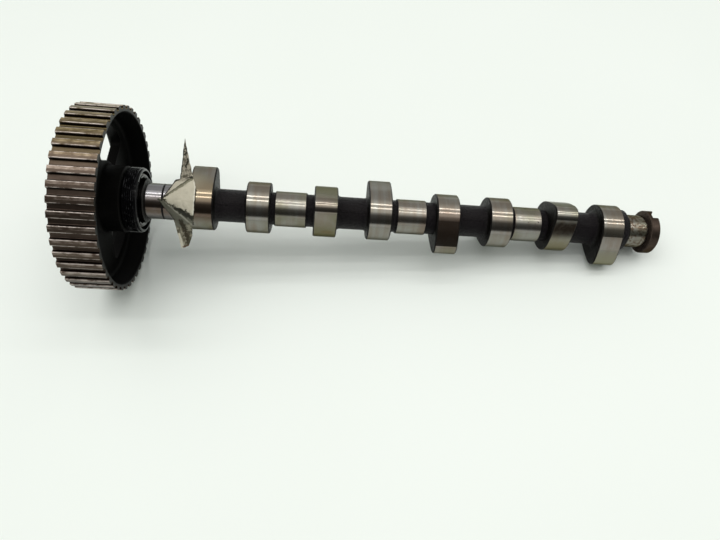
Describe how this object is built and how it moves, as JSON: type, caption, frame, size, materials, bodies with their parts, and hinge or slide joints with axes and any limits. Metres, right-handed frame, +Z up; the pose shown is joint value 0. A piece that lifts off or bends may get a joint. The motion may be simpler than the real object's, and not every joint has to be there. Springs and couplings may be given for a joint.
{
  "type": "camshaft",
  "caption": "Four-cylinder overhead camshaft with its toothed belt pulley, centre bolt, oil seal and a torn scrap of tape, lying as taken off.",
  "frame": {"origin": "on the bench, under the middle of the whole assembly's bounding box", "axes": "+X from the pulley end to the rear collar, +Z up from the bench, -Y towards the viewer's side"},
  "size_m": [0.4375, 0.1324, 0.135],
  "materials": {
    "shaft_iron": "ground journals and lobe faces, as-cast dark core",
    "pulley_steel": "machined, browned and worn on the teeth",
    "fastener_steel": "dark, slightly oily",
    "seal_rubber": "glossy, oily",
    "seal_steel": "bare",
    "tape": "crumpled, soiled with grease"
  },
  "bodies": {
    "root": {"camshaft": "shaft_iron", "timing_pulley": "pulley_steel", "bolt_washer": "fastener_steel", "pulley_bolt": "fastener_steel", "oil_seal": "seal_rubber", "seal_case": "seal_steel", "seal_spring": "seal_steel", "tape_wrap": "tape"}
  },
  "joints": []
}
